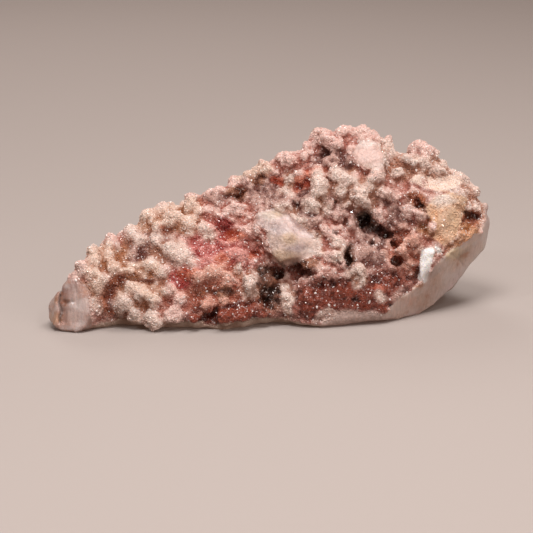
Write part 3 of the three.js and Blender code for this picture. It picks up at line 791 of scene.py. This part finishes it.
# Bare rind: dull, mottled and finely pitted.
rind_material, t, shader = material("chalcedony rind")
pits = noise_of(t, 0.9, 6.0, 0.7)
mottle = noise_of(t, 0.16, 4.0)
set_inputs(t, shader, {
    "Base Color": varied(t, varied(t, tint_of(t), pits, 0.6, 1.35), mottle, 0.8, 1.2),
    "Normal": bumped(t, pits, {"Strength": 0.9, "Distance": 0.0015}), "Roughness": 0.75,
})
print("materials:", [made.name for made in bpy.data.materials])

# %% [markdown]
# ## Skins of the stone
# Each triangle gets one material, by the shares at its corners: rind where the crust is thin, then the
# broken faces over it, and the ground faces over both.

# %% Materials onto the stone
SKINS = {"crust": druse, "ground": ground, "broken": broken, "rind": rind_material}
CRUST, GROUND, BROKEN, BARE = range(len(SKINS))
stone.data.materials.clear()
for skin in SKINS.values():
    stone.data.materials.append(skin)
triangles = np.empty(len(stone.data.polygons) * 3, dtype=np.int32)
stone.data.polygons.foreach_get("vertices", triangles)
triangles = triangles.reshape(-1, 3)


def of_faces(name):
    values = np.empty(len(stone.data.vertices))
    stone.data.attributes[name].data.foreach_get("value", values)
    return values[triangles].mean(axis=1)


kind = np.full(len(triangles), CRUST, dtype=np.int32)
kind[of_faces("crust") < 0.3] = BARE
kind[of_faces("broken") > 0.5] = BROKEN
kind[sum(of_faces(name) for name in LAPPED) > 0.5] = GROUND
stone.data.polygons.foreach_set("material_index", kind)
stone.data.polygons.foreach_set("use_smooth", np.ones(len(triangles), dtype=bool))
stone.data.update()
print("triangles of each skin:", dict(zip(SKINS, np.bincount(kind, minlength=len(SKINS)).tolist())))

# %% [markdown]
# ## Strewing the grains
# The grains and points are one shape each, set many times by Geometry Nodes. An attribute of the skin
# says where they grow. Each leans its own way, and carries a number by chance for its material.

# %% Scatter tree
HALF_TURN = 3.14
# How far a grain's middle lies under the crust, as a share of its size.
SINK = -0.2


def result(node):
    """The output that a Random Value node shows for its kind of data."""
    return [socket for socket in node.outputs if socket.enabled][0]


def scatter_tree():
    tree_ = bpy.data.node_groups.new("scatter on the crust", "GeometryNodeTree")
    face = tree_.interface
    face.new_socket("Geometry", in_out="OUTPUT", socket_type="NodeSocketGeometry")
    for name, kind in {
        "Geometry": "Geometry", "Shape": "Object", "Where": "String", "Per Square Metre": "Float",
        "Smallest": "Float", "Largest": "Float", "Tilt": "Float", "Sink": "Float", "Seed": "Int",
        "Material": "Material",
    }.items():
        face.new_socket(name, in_out="INPUT", socket_type="NodeSocket" + kind)
    given = tree_.nodes.new("NodeGroupInput").outputs
    where = add(tree_, "GeometryNodeInputNamedAttribute", {"Name": given["Where"]}, data_type="FLOAT")
    density = add(tree_, "ShaderNodeMath", {
        0: where.outputs["Attribute"], 1: given["Per Square Metre"],
    }, operation="MULTIPLY")
    points = add(tree_, "GeometryNodeDistributePointsOnFaces", {
        "Mesh": given["Geometry"], "Density": density.outputs[0], "Seed": given["Seed"],
    })
    size = result(add(tree_, "FunctionNodeRandomValue", {
        2: given["Smallest"], 3: given["Largest"], "Seed": given["Seed"],
    }, data_type="FLOAT"))
    lean = add(tree_, "ShaderNodeMath", {0: given["Tilt"], 1: -1.0}, operation="MULTIPLY")
    least = add(tree_, "ShaderNodeCombineXYZ", {
        "X": lean.outputs[0], "Y": lean.outputs[0], "Z": -HALF_TURN,
    })
    most = add(tree_, "ShaderNodeCombineXYZ", {"X": given["Tilt"], "Y": given["Tilt"], "Z": HALF_TURN})
    turn = add(tree_, "FunctionNodeRandomValue", {
        0: least.outputs[0], 1: most.outputs[0],
    }, data_type="FLOAT_VECTOR")
    turned = add(tree_, "FunctionNodeRotateRotation", {
        "Rotation": points.outputs["Rotation"], "Rotate By": turn.outputs[0],
    }, rotation_space="LOCAL")
    shape = add(tree_, "GeometryNodeObjectInfo", {"Object": given["Shape"], "As Instance": True})
    drop = add(tree_, "ShaderNodeMath", {0: size, 1: given["Sink"]}, operation="MULTIPLY")
    sunk = add(tree_, "ShaderNodeVectorMath", {
        0: points.outputs["Normal"], "Scale": drop.outputs[0],
    }, operation="SCALE")
    lowered = add(tree_, "GeometryNodeSetPosition", {
        "Geometry": points.outputs["Points"], "Offset": sunk.outputs[0],
    })
    placed = add(tree_, "GeometryNodeInstanceOnPoints", {
        "Points": lowered.outputs[0], "Instance": shape.outputs["Geometry"],
        "Rotation": turned.outputs[0], "Scale": size,
    })
    chance = add(tree_, "FunctionNodeRandomValue", {"Seed": 7}, data_type="FLOAT")
    marked = add(tree_, "GeometryNodeStoreNamedAttribute", {
        "Geometry": placed.outputs[0], "Name": "chance", "Value": result(chance),
    }, data_type="FLOAT", domain="INSTANCE")
    real = add(tree_, "GeometryNodeRealizeInstances", {"Geometry": marked.outputs[0]})
    finished = add(tree_, "GeometryNodeSetMaterial", {
        "Geometry": real.outputs[0], "Material": given["Material"],
    })
    tree_.links.new(finished.outputs[0], tree_.nodes.new("NodeGroupOutput").inputs["Geometry"])
    return tree_


SCATTER = scatter_tree()
print("scatter tree:", len(SCATTER.nodes), "nodes")


def scattered(name, host, shape, where, per_mm2, sizes, tilt, seed, skin):
    """Shapes strewn over the host where an attribute allows them. Sizes are in millimetres."""
    made = new_object(name, host.data)
    modifier = made.modifiers.new("scatter", "NODES")
    modifier.node_group = SCATTER
    values = {
        "Shape": shape, "Where": where, "Per Square Metre": per_mm2 / MM**2, "Smallest": sizes[0] * MM,
        "Largest": sizes[1] * MM, "Tilt": tilt, "Sink": SINK, "Seed": seed, "Material": skin,
    }
    for socket in SCATTER.interface.items_tree:
        if socket.in_out == "INPUT" and socket.name in values:
            modifier[socket.identifier] = values[socket.name]
    return baked(made, name)

# %% [markdown]
# ## Grains and points
# Each is a closed double pyramid, its lower half sunk in the crust: four sides for the sugary grains all
# over, which are too small to count their faces, and six for the clearer points in the hollows, as
# quartz has. They stand about square to the crust and lean at random.


# %% Quartz points
FOOT_DEPTH = 0.8


def quartz_point(sides, length):
    """A double pyramid with a radius of 1, its top a little off the middle, as they grow."""
    shape = bmesh.new()
    around = [Vector((math.cos(a), math.sin(a), 0)) for a in np.arange(sides) * math.tau / sides]
    ring = [shape.verts.new(p) for p in around]
    top = shape.verts.new((0.1, 0.05, length))
    foot = shape.verts.new((0, 0, -FOOT_DEPTH))
    for i in range(sides):
        shape.faces.new((ring[i], ring[(i + 1) % sides], top))
        shape.faces.new((ring[(i + 1) % sides], ring[i], foot))
    mesh = bpy.data.meshes.new("quartz point")
    shape.to_mesh(mesh)
    shape.free()
    return new_object("quartz point", mesh)


short, long = quartz_point(4, 0.85), quartz_point(6, 1.6)
# name: (shape, where it grows, how many to 1 mm2 at most, (smallest, largest) radius, tilt, seed)
GROWTHS = {
    "sugar_a": (short, "sugar", 0.5, (0.45, 0.8), 0.8, 21),
    "sugar_b": (short, "sugar", 0.5, (0.45, 0.8), 0.8, 22),
    "sugar_c": (short, "sugar", 0.5, (0.5, 0.9), 0.8, 23),
    "druse": (short, "hollow", 0.9, (0.5, 0.85), 1.3, 24),
    "points": (long, "hollow", 0.35, (0.45, 0.9), 0.9, 25),
}
grown = []
for name, row in GROWTHS.items():
    growth = scattered(name, stone, *row, points_material)
    kept_in_box(growth.data)
    grown.append(growth)
    print(name, len(growth.data.polygons), "triangles")
for spent in (short, long):
    bpy.data.objects.remove(spent, do_unlink=True)

# %% [markdown]
# ## The pieces and the frame
# The stone and its grains are one body that nothing moves, so all ride on the root. The dressed stone
# replaces the solid's plain mesh, which is hidden.

# %% Pieces
for piece in (stone, *grown):
    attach(piece, "root")
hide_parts(NODE)
print("pieces:", [piece.name for piece in (stone, *grown)])

# %% [markdown]
# ## Studio
# A wide pale floor, seen from above, so it fills the view from every side. It sends no light up onto
# the stone, since the ground in the photograph is dark. The key light is high in front and a little to
# the left, two small lights make the points sparkle, and one behind shows the rind. The camera stands
# where the photograph was taken: 15 degrees above the table, 1.2 metres off, with a long lens.

# %% Floor
HALF_FLOOR = 4.0
floor_shape = bmesh.new()
around = [(-1, -1), (1, -1), (1, 1), (-1, 1)]
floor_shape.faces.new([floor_shape.verts.new((x * HALF_FLOOR, y * HALF_FLOOR, 0)) for x, y in around])
floor_mesh = bpy.data.meshes.new("floor")
floor_shape.to_mesh(floor_mesh)
floor_shape.free()
floor = new_object("floor", floor_mesh)
paper, t, shader = material("paper")
set_inputs(t, shader, {"Base Color": (*linear("#b0a8a4"), 1), "Roughness": 0.9})
floor_mesh.materials.append(paper)
floor.visible_diffuse = False
print("floor:", floor.dimensions[0], "m wide")

# %% Lights
# name: (place, height that it aims at over the middle, width, power in watts, colour), in metres
SOFTBOXES = {
    "key": ((-0.12, -0.55, 1.1), 0.03, 0.4, 8.6, "#fff8f4"),
    "top": ((0.3, 0.0, 1.15), 0.04, 0.6, 6, "#fff8f4"),
    "fill": ((0.7, -1.05, 0.4), 0.04, 0.8, 4.6, "#fff0e8"),
    "back": ((-0.3, 1.0, 0.9), 0.04, 0.6, 4, "#fff8f4"),
    "spark left": ((-0.75, -0.7, 0.75), 0.04, 0.07, 1.4, "#ffffff"),
    "spark right": ((0.5, -0.8, 0.95), 0.04, 0.07, 1.4, "#ffffff"),
}
ROOM_COLOUR = "#dcb8a4"
ROOM_STRENGTH = 0.27
for name, (at, aim, size, power, colour) in SOFTBOXES.items():
    light = bpy.data.lights.new(name, "AREA")
    light.shape = "SQUARE"
    light.size = size
    light.energy = power
    light.color = linear(colour)
    softbox = new_object(name, light)
    softbox.location = at
    softbox.rotation_euler = (Vector((0, 0, aim)) - Vector(at)).to_track_quat("-Z", "Y").to_euler()

world = bpy.data.worlds.new("room")
bpy.context.scene.world = world
world.use_nodes = True
set_inputs(world.node_tree, world.node_tree.nodes["Background"], {
    "Color": (*linear(ROOM_COLOUR), 1), "Strength": ROOM_STRENGTH,
})
print("lights:", len(bpy.data.lights))

# %% Camera
SENSOR = 36
# How much of the plane through the front foot the picture shows, in millimetres.
PICTURE_WIDTH = 266.5
camera_data = bpy.data.cameras.new("camera")
camera = new_object("camera", camera_data)
camera_data.sensor_width = SENSOR
camera_data.lens = SENSOR * DISTANCE / PICTURE_WIDTH
camera_data.clip_end = 20
axes = Matrix((Vector((1, 0, 0)), Vector(UPWARD), Vector(-FORWARD))).transposed()
camera.matrix_world = Matrix.Translation(Vector(EYE * MM)) @ axes.to_4x4()
scene = bpy.context.scene
scene.camera = camera
scene.view_settings.view_transform = "Standard"
print("lens:", round(camera_data.lens, 1), "mm")
